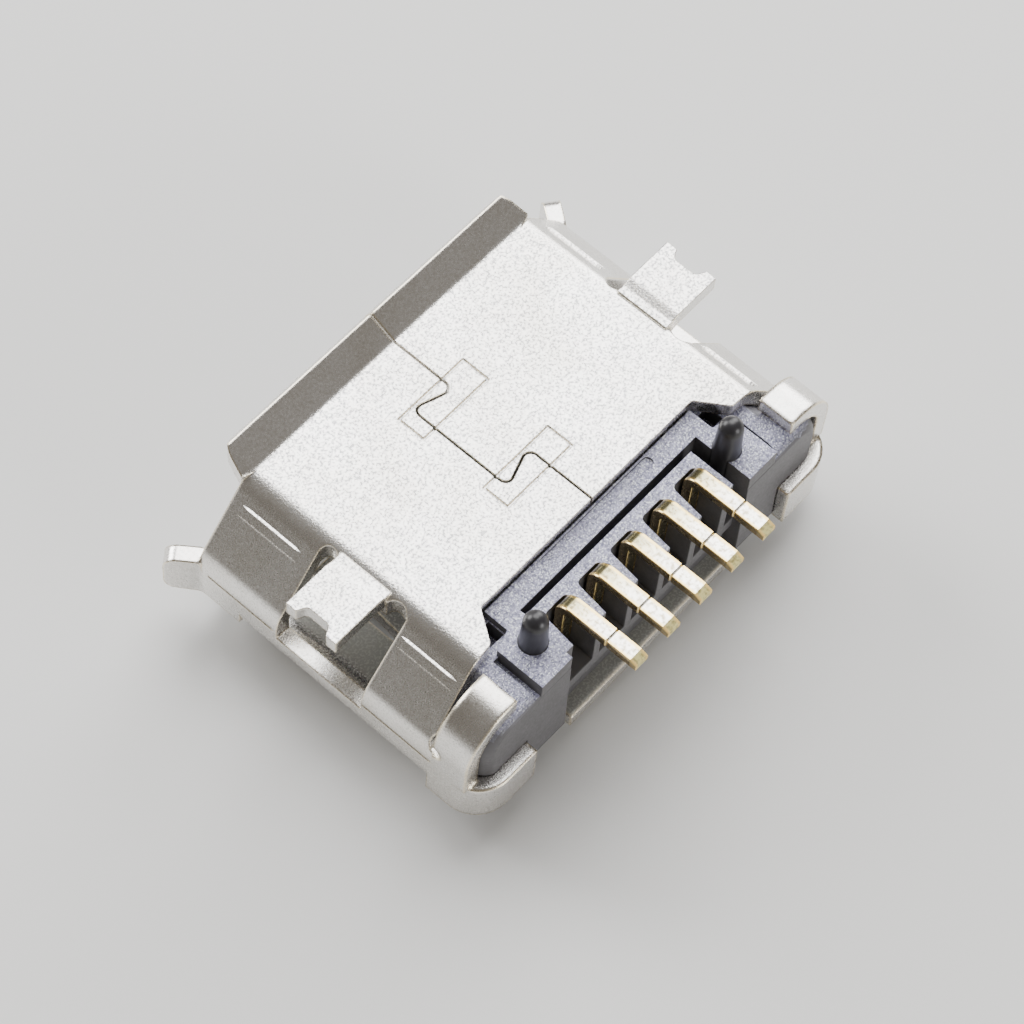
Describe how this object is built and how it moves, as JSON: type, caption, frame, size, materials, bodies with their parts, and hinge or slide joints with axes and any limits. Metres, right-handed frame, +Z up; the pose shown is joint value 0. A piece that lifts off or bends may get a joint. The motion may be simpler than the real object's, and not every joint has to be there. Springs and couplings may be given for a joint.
{
  "type": "micro usb socket",
  "caption": "Surface-mount micro usb socket: folded plated shell with flared mouth, solder legs and rear clips round a dark moulding with pegs and tinned solder feet.",
  "frame": {"origin": "bottom centre of the bounding box, with the socket lying on its wide side", "axes": "+Y out of the mouth, +Z up towards the solder side, +X across the width"},
  "size_m": [0.008, 0.0062, 0.0032],
  "materials": {
    "plated_sheet": "satin plating with a fine sandy grain",
    "dark_moulding": "glass-filled, matt with a fine sparkle",
    "tinned_brass": "bright tin over brass, bare brass at the cut ends"
  },
  "bodies": {
    "root": {"shell": "plated_sheet", "insulator": "dark_moulding", "contact_1": "tinned_brass", "contact_2": "tinned_brass", "contact_3": "tinned_brass", "contact_4": "tinned_brass", "contact_5": "tinned_brass"}
  },
  "joints": []
}
